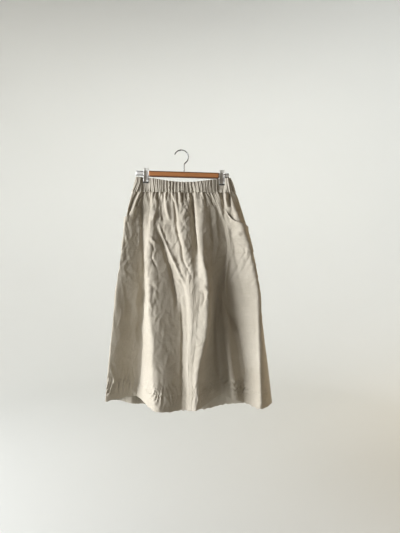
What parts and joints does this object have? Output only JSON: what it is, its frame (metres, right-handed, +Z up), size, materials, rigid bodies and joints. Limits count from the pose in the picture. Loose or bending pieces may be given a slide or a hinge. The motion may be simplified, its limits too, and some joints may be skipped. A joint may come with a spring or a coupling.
{
  "type": "gathered skirt on clip hanger",
  "caption": "Midi skirt with a gathered elastic waist and two side pockets, hung by its waistband from the clips of a wooden trouser hanger with a wire hook.",
  "frame": {"origin": "inner top of the hanger's wire hook, where the hanger is held", "axes": "+Z up, -Y the front of the skirt, +X to the right as seen from the front"},
  "size_m": [0.5592, 0.1489, 0.8963],
  "materials": {
    "linen": "washed plain-weave linen, matt, creased",
    "casing_linen": "washed linen gathered over elastic, matt",
    "pocket_linen": "washed plain-weave linen, matt, puckered at its stitching",
    "wood": "orange-brown stained wood, satin",
    "bright_steel": "nickel-plated steel, worn bright",
    "clip_steel": "plated sheet steel, dull",
    "spring_steel": "dark spring wire",
    "rubber": "black ribbed pad"
  },
  "bodies": {
    "root": {"front_panel": "linen", "back_panel": "linen", "waistband_front": "casing_linen", "waistband_back": "casing_linen", "pocket_left": "pocket_linen", "pocket_right": "pocket_linen", "hanger_bar": "wood", "hanger_end_left": "bright_steel", "hanger_end_right": "bright_steel", "hanger_hook": "bright_steel", "clip_left_front": "clip_steel", "clip_left_back": "clip_steel", "clip_right_front": "clip_steel", "clip_right_back": "clip_steel", "clip_left_spring": "spring_steel", "clip_right_spring": "spring_steel", "clip_left_pad_front": "rubber", "clip_left_pad_back": "rubber", "clip_right_pad_front": "rubber", "clip_right_pad_back": "rubber"}
  },
  "joints": []
}
